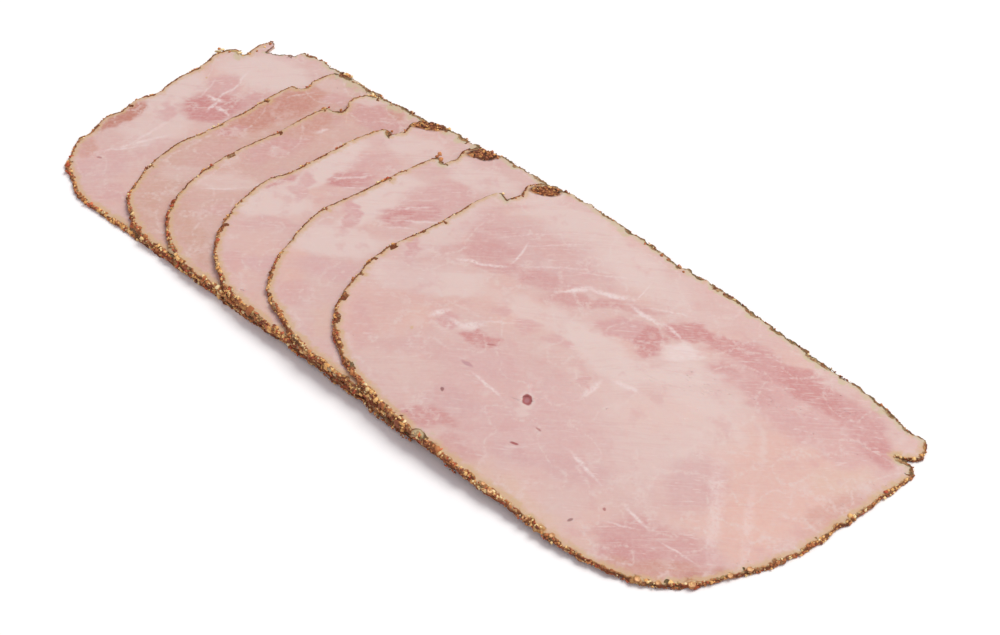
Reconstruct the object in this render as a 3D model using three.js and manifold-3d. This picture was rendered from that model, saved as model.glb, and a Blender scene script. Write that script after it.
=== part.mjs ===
// Spiced ham: a shingled row of six thin slices with a crust of cracked spices round every rim.
// Millimetres, +Z up. +X runs along the row, from the lowest slice to the top one.
import * as THREE from "three";
import { mergeVertices } from "three/addons/utils/BufferGeometryUtils.js";
import Module from "manifold-3d";

// Driving dimensions
const SLICE_THICKNESS = 1.15;
const LAYER_PITCH = 1.42;      // one slice and the film of air over it
const DRAPE_LENGTH = 30;       // over which a slice sinks past the end of the one below
const RIM_STEP = 3.5;          // longest side of the rim's facets
const RIM_INSET = 0.35;        // from the crust's outer reach to the cut meat
const CRAG_TOP = 0.35;         // how unevenly the crust breaks at the two faces
const CRAG_WAIST = 0.8;        // how far it stands out between them
const LIFT_HEIGHT = 0.45;      // how far a left rim springs off the slice below
const LIFT_REACH = 7;          // how far in from the rim the spring dies away
const RING_SCALES = [0.9, 0.77, 0.62, 0.47, 0.32, 0.16];
const RING_COUNTS = [64, 36, 32, 28, 18, 9];
const MEAT_COLOR = 0xdfb9b2;
const MEAT_ROUGHNESS = 0.55;

// Crumbs: the largest pieces of spice, fused to the rim inside their own slice's layer
const CRUMB_HALF_HEIGHT = 0.52;
const CRUMB_DETAIL = 1;
const CRUMB_CLEAR_OF_MEAT = 0.15;

// One slice's outline, clockwise from the cleft at its far left corner, about the slice's middle.
// Every slice is a cut of the same ham, so all of them repeat it.
const OUTLINE = [
  [-78.5, 36.3], [-76.8, 37.3], [-74.2, 36.3], [-72.4, 40.8], [-74.2, 45.2],        // cleft
  [-71.8, 49.2], [-67.0, 51.4], [-61.5, 52.3],
  [-30.6, 52.6], [-11.2, 52.0], [-1.7, 53.0], [34.8, 51.6], [64.4, 50.4],           // far side
  [75.9, 47.9], [80.1, 48.3],
  [82.9, 45.0], [82.5, 39.6], [77.8, 37.2], [82.8, 37.6], [85.3, 35.0],             // split
  [84.5, 28.0], [82.6, 11.6], [81.0, 4.6], [80.2, -2.9], [77.9, -12.2],             // right end
  [74.2, -21.6], [69.8, -28.8], [66.6, -35.6], [59.4, -43.3],
  [48.4, -49.4], [34.0, -53.3], [10.0, -53.9], [-12.0, -54.6], [-46.1, -53.1],      // near side
  [-59.0, -49.8], [-70.6, -43.7], [-76.6, -38.1], [-81.2, -30.0], [-84.0, -21.0],   // left end
  [-86.4, -9.6], [-85.0, 0.0], [-82.2, 14.3], [-81.3, 25.7],
];
const CORNER_END = 8;          // the first outline point past the cleft and its corner
const NEAR_SIDE_START = 29;    // the first outline point that a slice's drift moves
const LEFT_END_START = 34;

// The slices from the lowest up: the middle's place, the turn in degrees, and how far the near
// side and the left end drift outwards from the shared outline, point by point. A slice whose
// far side or corner differs has its own drift or points for it.
const SLICES = [
  {
    middle: [-80.6, -1.4],
    turn: 1.5,
    drift: [0, -0.1, -0.9, -2.0, -0.8],
    corner: [
      [-82.0, 35.4], [-79.8, 37.4], [-76.0, 36.6], [-74.2, 38.6], [-71.6, 42.0],
      [-66.4, 45.2], [-61.9, 48.4], [-60.6, 51.4],
    ],
    leftEnd: [
      [-53.9, -52.6], [-58.4, -52.4], [-63.4, -51.0], [-67.6, -48.3], [-72.2, -46.4],
      [-75.8, -43.8], [-78.0, -40.0], [-81.2, -36.0], [-83.1, -31.8], [-82.8, -27.9],
      [-85.6, -20.5], [-85.2, -17.5], [-84.0, -13.5], [-84.6, -9.8], [-84.9, -6.0],
      [-84.1, -2.7], [-82.5, 0.2], [-82.3, 3.0], [-83.4, 8.7], [-83.4, 13.0],
      [-82.6, 18.0], [-82.3, 21.3], [-83.3, 25.5], [-83.8, 29.5], [-83.4, 32.4],
    ],
  },
  {
    middle: [-49.5, -4.6],
    turn: 0.8,
    drift: [-0.3, -3.2, -4.5, -5.2, -4.0, -1.2, 0.1, 0.9, 0.2, 0.2, -1.1, -1.9, -0.5, -0.1],
    corner: [
      [-80.8, 33.2], [-80.0, 38.0], [-77.4, 37.6], [-75.0, 39.5], [-76.1, 43.5],
      [-75.6, 48.0], [-73.6, 52.5], [-66.5, 53.6],
    ],
    farDrift: 1.2,
  },
  {
    middle: [-31.2, -4.9],
    turn: -0.6,
    drift: [-0.2, -3.5, -4.5, -5.3, -3.2, -0.5, 0, 0.2, 0.1, -0.1, -1.0, -0.2, 0, 0.2],
    corner: [
      [-80.8, 31.2], [-79.6, 34.0], [-77.4, 34.8], [-74.6, 36.6], [-74.6, 39.2],
      [-76.4, 41.2], [-77.1, 44.8], [-75.3, 48.6], [-71.0, 51.0], [-64.7, 52.6],
    ],
    farDrift: 1.2,
  },
  {
    middle: [-9.5, -3.4],
    turn: -1.1,
    drift: [0.5, -2.3, -3.3, -3.5, -1.1, 0, 0, -0.5, -0.1, 0.7, 0.4, -0.9, -0.1, 0],
    farDrift: 0.6,
  },
  {
    middle: [15.4, -2.3],
    turn: -0.6,
    drift: [0.8, -0.7, -1.0, -2.0, -0.5, -0.7, 0.3, -0.4, -0.5, -0.4, -0.1, 0, 0.4, -0.1],
  },
  {
    middle: [44.5, -1.2],
    turn: 0,
    drift: [],
  },
];

// The lowest slice's corner is torn: its cleft ends in a loose strip beside a ragged bare edge.
const TORN_SLICE = 0;
const TORN_EDGE = [3, 6];      // the outline points between which there is no crust
const STRIP = [[-75.4, 37.8], [-75.9, 44.0], [-74.0, 48.9], [-71.3, 47.6], [-70.8, 43.2], [-70.6, 40.2]];

// Each crumb's slice, the place on the rim that it is nearest to, and half its length and depth
const CRUMBS = [
  [0, [-47.9, -51.4], 1.3, 0.8], [0, [-83.0, -32.0], 1.2, 0.6], [0, [-76.0, -44.0], 1.3, 0.7],
  [0, [-10.0, -52.0], 1.5, 0.8],
  [1, [-65.9, -46.6], 1.7, 0.9], [1, [-40.0, -49.0], 1.2, 0.8], [1, [-84.0, -20.0], 1.1, 0.6],
  [2, [-61.2, -49.3], 2.0, 1.1], [2, [-79.9, -32.6], 1.2, 0.8], [2, [-20.0, -49.0], 1.4, 0.9],
  [3, [-78.8, -34.3], 1.7, 0.9], [3, [-54.6, -50.9], 1.8, 0.9], [3, [-45.9, -52.0], 1.5, 0.9],
  [3, [-20.0, -51.0], 1.4, 0.9],
  [4, [-43.0, -52.5], 1.6, 0.9], [4, [-31.2, -52.5], 1.5, 0.9], [4, [-75.8, -38.0], 1.2, 0.6],
  [5, [-25.0, -53.9], 1.5, 0.8], [5, [52.1, -47.9], 1.2, 0.8], [5, [64.2, -38.7], 1.9, 0.8],
  [5, [-20.0, -54.0], 1.1, 0.7], [5, [22.0, -53.7], 1.4, 0.8], [5, [76.2, -16.0], 1.4, 0.7],
  [5, [-27.0, 52.6], 1.8, 0.6], [5, [34.0, 51.6], 1.4, 0.5],
];

// The pocket of crust beside the cleft, about the slice's middle, and how large it is in each slice
const POCKET_START = [-71.6, 46.4];
const POCKET_END = [-63.8, 49.6];
const POCKET_LUMPS = 3;
const POCKET_SIZES = [0, 0, 0, 1, 1, 0.9];
const POCKET_LUMP_RADIUS = [2.5, 1.7];
const POCKET_LUMP_RISE = 0.25;

// The small pit in the top slice's face
const PIT_SLICE = 5;
const PIT_PLACE = [-11.0, -22.9];
const PIT_RADII = [1.7, 1.45, 0.75];

const wasm = await Module();
wasm.setup();

// A repeatable stream of numbers from 0 to 1
function seededRandom(seed) {
  let state = seed * 2654435761 % 4294967296;
  return () => {
    state = (state * 1664525 + 1013904223) % 4294967296;
    return state / 4294967296;
  };
}

const between = (range, amount) => range[0] + (range[1] - range[0]) * amount;

// The shared outline with one slice's own drift and points, as a smooth closed curve
function outlineCurve(sliceIndex) {
  const slice = SLICES[sliceIndex];
  const points = OUTLINE.map(([x, y]) => new THREE.Vector2(x, y));
  const drifted = points.map((point, i) => {
    const amount = i === CORNER_END ? slice.farDrift ?? 0 : slice.drift[i - NEAR_SIDE_START] ?? 0;
    const before = points[(i + points.length - 1) % points.length];
    const after = points[(i + 1) % points.length];
    const along = after.clone().sub(before).normalize();
    return point.clone().add(new THREE.Vector2(-along.y, along.x).multiplyScalar(amount)).toArray();
  });
  const outline = [
    ...(slice.corner ?? drifted.slice(0, CORNER_END)),
    ...drifted.slice(CORNER_END, LEFT_END_START),
    ...(slice.leftEnd ?? drifted.slice(LEFT_END_START)),
  ];
  const knots = outline.map(([x, y]) => new THREE.Vector3(x, y, 0));
  return new THREE.CatmullRomCurve3(knots, true, "centripetal");
}

// Points along the outline: every control point, and even steps between them
function rimPoints(curve) {
  const spans = curve.points.length;
  const rim = [];
  for (let span = 0; span < spans; span++) {
    const start = curve.getPoint(span / spans);
    const end = curve.getPoint((span + 1) / spans);
    const steps = Math.max(1, Math.round(start.distanceTo(end) / RIM_STEP));
    for (let step = 0; step < steps; step++) {
      const point = curve.getPoint((span + step / steps) / spans);
      rim.push({ x: point.x, y: point.y, span });
    }
  }
  let length = 0;
  rim.forEach((point, i) => {
    const next = rim[(i + 1) % rim.length];
    point.distance = length;
    length += Math.hypot(next.x - point.x, next.y - point.y);
  });
  rim.forEach((point, i) => {
    const before = rim[(i + rim.length - 1) % rim.length];
    const after = rim[(i + 1) % rim.length];
    const along = new THREE.Vector2(after.x - before.x, after.y - before.y).normalize();
    point.share = point.distance / length;
    point.outX = -along.y;
    point.outY = along.x;
  });
  return rim;
}

// The rim's place at a share of the way round it
function rimAt(rim, share) {
  const next = rim.findIndex((point) => point.share > share);
  const b = next < 0 ? rim.length : next;
  const from = rim[b - 1];
  const to = rim[b % rim.length];
  const end = b === rim.length ? 1 : to.share;
  const amount = (share - from.share) / (end - from.share);
  return { x: from.x + (to.x - from.x) * amount, y: from.y + (to.y - from.y) * amount, share };
}

const rims = SLICES.map((slice, i) => rimPoints(outlineCurve(i)));

function toRow(sliceIndex, x, y) {
  const { middle, turn } = SLICES[sliceIndex];
  const angle = THREE.MathUtils.degToRad(turn);
  return [
    middle[0] + x * Math.cos(angle) - y * Math.sin(angle),
    middle[1] + x * Math.sin(angle) + y * Math.cos(angle),
  ];
}

const rowOutlines = rims.map((rim, i) => rim.map((point) => toRow(i, point.x, point.y)));

// How far a place in the row lies outside a slice's outline, and 0 anywhere on the slice
function distanceOutside(outline, x, y) {
  let nearest = Infinity;
  let inside = false;
  outline.forEach(([ax, ay], i) => {
    const [bx, by] = outline[(i + 1) % outline.length];
    const dx = bx - ax;
    const dy = by - ay;
    const amount = THREE.MathUtils.clamp(((x - ax) * dx + (y - ay) * dy) / (dx * dx + dy * dy), 0, 1);
    nearest = Math.min(nearest, Math.hypot(ax + dx * amount - x, ay + dy * amount - y));
    if (ay > y !== by > y && x < ax + dx * (y - ay) / dy) {
      inside = !inside;
    }
  });
  return inside ? 0 : nearest;
}

// The height of a slice's underside: it rests on every slice below, and past their ends it sinks
function supportHeight(sliceIndex, x, y) {
  const [rowX, rowY] = toRow(sliceIndex, x, y);
  let height = 0;
  for (let below = 0; below < sliceIndex; below++) {
    const outside = distanceOutside(rowOutlines[below], rowX, rowY);
    height += LAYER_PITCH * (1 - THREE.MathUtils.smoothstep(outside, 0, DRAPE_LENGTH));
  }
  return height;
}

// The left rim springs a little off the slice below, in slow waves
function leftLift(sliceIndex, point, depth) {
  if (sliceIndex === 0) {
    return 0;
  }
  const leftness = THREE.MathUtils.smoothstep(-point.x, 45, 70);
  const wave = 0.55 + 0.45 * Math.sin(point.y / 9 + sliceIndex * 2.1);
  return LIFT_HEIGHT * leftness * wave * Math.exp(-depth / LIFT_REACH);
}

function isTorn(sliceIndex, span) {
  return sliceIndex === TORN_SLICE && span >= TORN_EDGE[0] && span < TORN_EDGE[1];
}

// One face of the slice: rings that shrink towards the middle, stitched to each other by share
class SliceMesh {
  constructor(sliceIndex) {
    this.index = sliceIndex;
    this.rim = rims[sliceIndex];
    this.random = seededRandom(sliceIndex + 11);
    this.positions = [];
    this.triangles = [];
  }

  vertex(x, y, height, lift) {
    this.positions.push(x, y, supportHeight(this.index, x, y) + lift + height);
    return this.positions.length / 3 - 1;
  }

  rimRing(height, reachOf) {
    return this.rim.map((point) => {
      const reach = isTorn(this.index, point.span) ? 0 : reachOf() - RIM_INSET;
      const x = point.x + point.outX * reach;
      const y = point.y + point.outY * reach;
      return { share: point.share, index: this.vertex(x, y, height, leftLift(this.index, point, 0)) };
    });
  }

  innerRing(height, scale, count) {
    return Array.from({ length: count }, (unused, i) => {
      const point = rimAt(this.rim, i / count);
      const depth = Math.hypot(point.x, point.y) * (1 - scale);
      const lift = leftLift(this.index, point, depth);
      return { share: point.share, index: this.vertex(point.x * scale, point.y * scale, height, lift) };
    });
  }

  // Triangles between two rings that both run clockwise, facing up or down
  stitch(outer, inner, facesUp) {
    const face = (a, b, c) => this.triangles.push(...(facesUp ? [a, c, b] : [a, b, c]));
    const shareAfter = (ring, i) => (i + 1 < ring.length ? ring[i + 1].share : 1);
    const at = (ring, i) => ring[i % ring.length].index;
    let o = 0;
    let n = 0;
    while (o < outer.length || n < inner.length) {
      if (n >= inner.length || (o < outer.length && shareAfter(outer, o) <= shareAfter(inner, n))) {
        face(at(outer, o), at(outer, o + 1), at(inner, n));
        o += 1;
      } else {
        face(at(outer, o), at(inner, n + 1), at(inner, n));
        n += 1;
      }
    }
  }

  cap(rimRing, height, facesUp) {
    let outer = rimRing;
    RING_SCALES.forEach((scale, i) => {
      const inner = this.innerRing(height, scale, RING_COUNTS[i]);
      this.stitch(outer, inner, facesUp);
      outer = inner;
    });
    const hub = this.vertex(0, 0, height, 0);
    outer.forEach((point, i) => {
      const next = outer[(i + 1) % outer.length];
      this.triangles.push(...(facesUp ? [point.index, hub, next.index] : [point.index, next.index, hub]));
    });
  }

  wall(upper, lower) {
    upper.forEach((point, i) => {
      const j = (i + 1) % upper.length;
      this.triangles.push(point.index, upper[j].index, lower[i].index);
      this.triangles.push(upper[j].index, lower[j].index, lower[i].index);
    });
  }

  build() {
    const ragged = () => (this.random() - 0.5) * 2 * CRAG_TOP;
    const proud = () => this.random() * CRAG_WAIST;
    const top = this.rimRing(SLICE_THICKNESS, ragged);
    const waist = this.rimRing(SLICE_THICKNESS / 2, proud);
    const bottom = this.rimRing(0, ragged);
    this.cap(top, SLICE_THICKNESS, true);
    this.wall(top, waist);
    this.wall(waist, bottom);
    this.cap(bottom, 0, false);
    const geometry = new THREE.BufferGeometry();
    geometry.setAttribute("position", new THREE.Float32BufferAttribute(this.positions, 3));
    geometry.setIndex(this.triangles);
    return geometry;
  }
}

function toSolid(geometry) {
  geometry.deleteAttribute("normal");
  geometry.deleteAttribute("uv");
  const merged = mergeVertices(geometry);
  const mesh = new wasm.Mesh({
    numProp: 3,
    vertProperties: new Float32Array(merged.attributes.position.array),
    triVerts: new Uint32Array(merged.index.array),
  });
  return new wasm.Manifold(mesh);
}

function toGeometry(solid) {
  const mesh = solid.getMesh();
  const geometry = new THREE.BufferGeometry();
  geometry.setAttribute("position", new THREE.Float32BufferAttribute(mesh.vertProperties, 3));
  geometry.setIndex(Array.from(mesh.triVerts));
  geometry.computeVertexNormals();
  return geometry;
}

// A flattened angular grain, its long side at an angle to the row
function grain(x, y, z, angle, radii, detail = 0) {
  const geometry = new THREE.IcosahedronGeometry(1, detail);
  geometry.scale(...radii);
  geometry.rotateZ(angle);
  geometry.translate(x, y, z);
  return toSolid(geometry);
}

function rimCrumbs(sliceIndex) {
  return CRUMBS.filter(([owner]) => owner === sliceIndex).map(([owner, place, length, depth]) => {
    const reach = (point) => Math.hypot(point.x - place[0], point.y - place[1]);
    const point = rims[owner].reduce((a, b) => (reach(b) < reach(a) ? b : a));
    const x = point.x - point.outX * CRUMB_CLEAR_OF_MEAT;
    const y = point.y - point.outY * CRUMB_CLEAR_OF_MEAT;
    const z = supportHeight(owner, x, y) + leftLift(owner, point, 0) + SLICE_THICKNESS / 2;
    const angle = Math.atan2(-point.outX, point.outY);
    return grain(x, y, z, angle, [length, depth, CRUMB_HALF_HEIGHT], CRUMB_DETAIL);
  });
}

// Lumps of crust that fill the pocket beside the cleft and stand just proud of the cut face
function pocketLumps(sliceIndex) {
  const size = POCKET_SIZES[sliceIndex];
  if (size === 0) {
    return [];
  }
  const angle = Math.atan2(POCKET_END[1] - POCKET_START[1], POCKET_END[0] - POCKET_START[0]);
  return Array.from({ length: POCKET_LUMPS }, (unused, i) => {
    const amount = 0.5 + size * (i / (POCKET_LUMPS - 1) - 0.5);
    const x = between([POCKET_START[0], POCKET_END[0]], amount);
    const y = between([POCKET_START[1], POCKET_END[1]], amount);
    const halfHeight = SLICE_THICKNESS / 2;
    const z = supportHeight(sliceIndex, x, y) + halfHeight + POCKET_LUMP_RISE;
    return grain(x, y, z, angle, [...POCKET_LUMP_RADIUS.map((radius) => radius * size), halfHeight]);
  });
}

// The loose strip of rind at the torn corner
function tornStrip() {
  const shape = new THREE.Shape(STRIP.map(([x, y]) => new THREE.Vector2(x, y)));
  const geometry = new THREE.ExtrudeGeometry(shape, { depth: SLICE_THICKNESS, bevelEnabled: false });
  return toSolid(geometry);
}

function sliceGeometry(sliceIndex) {
  let solid = toSolid(new SliceMesh(sliceIndex).build());
  const additions = [...rimCrumbs(sliceIndex), ...pocketLumps(sliceIndex)];
  if (sliceIndex === TORN_SLICE) {
    additions.push(tornStrip());
  }
  additions.forEach((addition) => {
    solid = solid.add(addition);
  });
  if (sliceIndex === PIT_SLICE) {
    const height = supportHeight(sliceIndex, ...PIT_PLACE) + SLICE_THICKNESS;
    solid = solid.subtract(grain(...PIT_PLACE, height, 0, PIT_RADII, 1));
  }
  return toGeometry(solid);
}

const row = new THREE.Group();
SLICES.forEach((slice, i) => {
  const material = new THREE.MeshStandardMaterial({
    color: MEAT_COLOR,
    roughness: MEAT_ROUGHNESS,
    metalness: 0,
  });
  const mesh = new THREE.Mesh(sliceGeometry(i), material);
  mesh.name = `ham_slice_${i + 1}`;
  mesh.position.set(slice.middle[0], slice.middle[1], 0);
  mesh.rotation.z = THREE.MathUtils.degToRad(slice.turn);
  row.add(mesh);
});

// The origin is the middle of the row's footprint, on the surface that it lies on
row.updateMatrixWorld(true);
const box = new THREE.Box3().setFromObject(row, true);
row.position.set(-(box.min.x + box.max.x) / 2, -(box.min.y + box.max.y) / 2, 0);

export default row;
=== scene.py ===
import math
import random

import bmesh
import bpy
import numpy as np
from mathutils import Euler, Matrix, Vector, noise
from mathutils.bvhtree import BVHTree
from mathutils.kdtree import KDTree


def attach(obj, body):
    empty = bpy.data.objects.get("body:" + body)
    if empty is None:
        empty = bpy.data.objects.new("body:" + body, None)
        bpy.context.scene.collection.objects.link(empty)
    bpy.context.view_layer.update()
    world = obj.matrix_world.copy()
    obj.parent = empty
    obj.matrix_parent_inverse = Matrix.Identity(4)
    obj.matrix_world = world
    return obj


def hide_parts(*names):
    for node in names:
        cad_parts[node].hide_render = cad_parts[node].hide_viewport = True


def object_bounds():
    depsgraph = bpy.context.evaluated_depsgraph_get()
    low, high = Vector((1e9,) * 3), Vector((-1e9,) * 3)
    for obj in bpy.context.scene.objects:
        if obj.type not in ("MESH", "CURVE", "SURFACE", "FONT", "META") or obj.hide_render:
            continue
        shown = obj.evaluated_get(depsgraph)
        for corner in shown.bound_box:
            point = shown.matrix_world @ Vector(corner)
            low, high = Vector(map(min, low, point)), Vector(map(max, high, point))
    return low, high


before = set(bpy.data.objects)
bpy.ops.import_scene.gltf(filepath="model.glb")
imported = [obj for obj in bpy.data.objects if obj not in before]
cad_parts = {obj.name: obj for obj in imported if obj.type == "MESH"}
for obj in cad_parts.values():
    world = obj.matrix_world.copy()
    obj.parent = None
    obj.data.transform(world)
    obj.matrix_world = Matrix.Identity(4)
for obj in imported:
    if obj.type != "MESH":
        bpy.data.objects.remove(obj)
cad_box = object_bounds()

# Six slices of a cured ham lie in cut order, each over the one before it. Every slice is a
# finer copy of its solid, with the muscles painted on the cut face, and the spice on the
# rinds is thousands of loose crumbs, one piece for each kind of spice.

MM = 0.001
WELD = 1e-6

# The middle of each slice before the row was centred, and its turn, in mm and degrees.
ROW_SHIFT = Vector((17.8, 2.12, 0))
SLICES = {
    1: ((-80.6, -1.4), 1.5),
    2: ((-49.5, -4.6), 0.8),
    3: ((-31.2, -4.9), -0.6),
    4: ((-9.5, -3.4), -1.1),
    5: ((15.4, -2.3), -0.6),
    6: ((44.5, -1.2), 0.0),
}
TOP_SLICE = 6
SLICE_THICKNESS = 1.15


def slice_frame(number):
    """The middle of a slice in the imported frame, in mm, and its turn in radians."""
    (x, y), turn = SLICES[number]
    return Vector((x, y, 0)) + ROW_SHIFT, math.radians(turn)


def turned(x, y, angle):
    """A place, or places, turned about the origin by an angle in radians."""
    c, s = math.cos(angle), math.sin(angle)
    return c * x - s * y, s * x + c * y


def to_local(number, x, y):
    """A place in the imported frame, in mm, as the slice's own x and y."""
    middle, turn = slice_frame(number)
    return turned(x - middle.x, y - middle.y, -turn)


def to_packed(number, x, y):
    """A place on a slice, in its own mm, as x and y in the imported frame."""
    middle, turn = slice_frame(number)
    x, y = turned(x, y, turn)
    return middle.x + x, middle.y + y


def smoothstep(value, low, high):
    share = min(max((value - low) / (high - low), 0), 1)
    return share * share * (3 - 2 * share)


# Shader tools

# How much light a level surface sends back for its colour, set by the lamps below, and how
# much the crumbs on the rinds do, which shade each other.
LIGHT_LEVEL = 1.135
CRUMB_LIGHT_LEVEL = 0.8


def ink(red, green, blue, level=LIGHT_LEVEL):
    """A colour as it is seen under the lamps, 0 to 255, as the linear colour of the surface."""
    def linear(part):
        part /= 255
        return part / 12.92 if part <= 0.04045 else ((part + 0.055) / 1.055) ** 2.4
    return tuple(min(linear(part) / level, 1) for part in (red, green, blue)) + (1,)


def spice(red, green, blue):
    """The colour of a crumb as it is seen, painted brighter to make up for the shade the crumbs cast on
    each other.
    """
    return ink(red, green, blue, CRUMB_LIGHT_LEVEL)


class Socket:
    """The output of a shader node. Arithmetic on it adds Math nodes."""

    def __init__(self, paint, output):
        self.paint = paint
        self.output = output

    def math(self, operation, *values):
        return self.paint.node("ShaderNodeMath", {"operation": operation}, dict(enumerate(values)))

    def __add__(self, other):
        return self.math("ADD", self, other)

    def __sub__(self, other):
        return self.math("SUBTRACT", self, other)

    def __rsub__(self, other):
        return self.math("SUBTRACT", other, self)

    def __mul__(self, other):
        return self.math("MULTIPLY", self, other)

    __radd__ = __add__
    __rmul__ = __mul__

    def above(self, low, high):
        """0 below low, 1 above high, and smooth between; high may be the lower of the two."""
        return self.paint.node("ShaderNodeMapRange", {"interpolation_type": "SMOOTHSTEP"},
                               {"Value": self, "From Min": low, "From Max": high})


class Paint:
    """A material under construction."""

    def __init__(self, name):
        self.material = bpy.data.materials.new(name)
        self.material.use_nodes = True
        self.tree = self.material.node_tree
        self.tree.nodes.clear()

    def node(self, kind, settings=None, inputs=None, output=0):
        """Adds a node with its settings, then its inputs, and returns one of its outputs."""
        added = self.tree.nodes.new(kind)
        for name, value in (settings or {}).items():
            if name == "stops":
                self.set_stops(added.color_ramp, value)
            else:
                setattr(added, name, value)
        for name, value in (inputs or {}).items():
            if isinstance(value, Socket):
                self.tree.links.new(value.output, added.inputs[name])
            else:
                added.inputs[name].default_value = value
        return Socket(self, added.outputs[output])

    @staticmethod
    def set_stops(ramp, stops):
        while len(ramp.elements) < len(stops):
            ramp.elements.new(1)
        for element, (place, colour) in zip(ramp.elements, stops):
            element.position = place
            element.color = colour

    def mix(self, share, first, second):
        """A colour between two, by a share from 0 to 1."""
        return self.node("ShaderNodeMix", {"data_type": "RGBA"}, {0: share, 6: first, 7: second}, 2)

    def ramp(self, share, stops, interpolation="LINEAR"):
        ramp = self.node("ShaderNodeValToRGB", {"stops": stops}, {"Fac": share})
        ramp.output.node.color_ramp.interpolation = interpolation
        return ramp

    def vector(self, operation, *values, output=0):
        return self.node("ShaderNodeVectorMath", {"operation": operation},
                         dict(enumerate(values)), output)

    def placed(self, spot, place=(0, 0, 0), turn=0.0, scale=(1, 1, 1)):
        """The spot as seen from a place, turned, in units of scale."""
        return self.node("ShaderNodeMapping", {"vector_type": "TEXTURE"},
                         {"Vector": spot, "Location": place, "Rotation": (0, 0, turn), "Scale": scale})

    def noise(self, spot, scale, detail=2.0, roughness=0.5, w=0.0, output=0):
        return self.node("ShaderNodeTexNoise", {"noise_dimensions": "4D"},
                         {"Vector": spot, "W": w, "Scale": scale, "Detail": detail,
                          "Roughness": roughness}, output)

    def cells(self, spot, scale, output="Color"):
        return self.node("ShaderNodeTexVoronoi", {"voronoi_dimensions": "3D"},
                         {"Vector": spot, "Scale": scale, "Randomness": 1.0}, output)

    def finish(self, colour, roughness, height=None, depth=0.0, **plain):
        """Joins colour, roughness and relief, in mm of depth, in one surface."""
        inputs = {"Base Color": colour, "Roughness": roughness}
        inputs.update({name.replace("_", " "): value for name, value in plain.items()})
        if height is not None:
            inputs["Normal"] = self.node("ShaderNodeBump", {}, {"Height": height, "Strength": 1.0,
                                                                "Distance": depth * MM})
        surface = self.node("ShaderNodeBsdfPrincipled", {}, inputs)
        output = self.tree.nodes.new("ShaderNodeOutputMaterial")
        self.tree.links.new(surface.output, output.inputs["Surface"])
        return self.material


# Colours, as they are seen

BASE = ink(219, 184, 177)
FAT = ink(227, 204, 197)
CREAM = ink(223, 194, 186)
BEIGE = ink(223, 189, 171)
LILAC = ink(217, 177, 174)
DUSK = ink(212, 170, 168)
ROSE = ink(214, 167, 164)
DEEP = ink(209, 155, 152)
MAROON = ink(205, 143, 140)
PEACH = ink(228, 185, 171)
CLAY = ink(205, 149, 133)
RUSSET = ink(196, 134, 118)
WARM = ink(210, 168, 152)
TAN = ink(212, 178, 138)
STRAW = ink(208, 192, 158)
PIT_RED = ink(164, 84, 84)
DARK_RED = ink(120, 60, 62)
DUSK_RED = ink(186, 134, 140)
SINEW = ink(236, 218, 214)
FAR_CRUST = ink(158, 134, 96)
# Painted shade, darkest in the gaps between the crust's raised crumbs.
SHADED_CRUST_GAP = ink(112, 66, 40)
# Painted shade, for the lower wall of the rind, down by the floor and the slice below.
SHADED_LOW_CRUST = ink(120, 58, 40)
EDGE = ink(118, 62, 36)
FAR_EDGE = ink(106, 88, 60)

# Crumbs seen from above, crumbs on the wall of the rind, and those in the pockets. The wall's
# colours are painted brighter, at the crumbs' light level, to make up for the shade on the wall.
TOP_STOPS = (
    (0.0, ink(208, 156, 100)), (0.22, ink(168, 106, 66)), (0.36, ink(228, 202, 156)),
    (0.5, ink(190, 132, 84)), (0.66, ink(152, 122, 80)), (0.76, ink(216, 176, 124)),
    (0.88, ink(164, 82, 52)),
)
SHADE_LIFTED_WALL_STOPS = (
    (0.0, spice(164, 92, 58)), (0.2, spice(204, 150, 98)), (0.36, spice(170, 82, 56)),
    (0.5, spice(146, 108, 70)), (0.62, spice(188, 126, 80)), (0.76, spice(220, 184, 134)),
    (0.84, spice(134, 74, 48)),
)
POCKET_STOPS = (
    (0.0, ink(96, 52, 30)), (0.3, ink(160, 104, 60)), (0.45, ink(74, 42, 26)),
    (0.6, ink(196, 144, 88)), (0.72, ink(126, 70, 38)),
)

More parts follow.
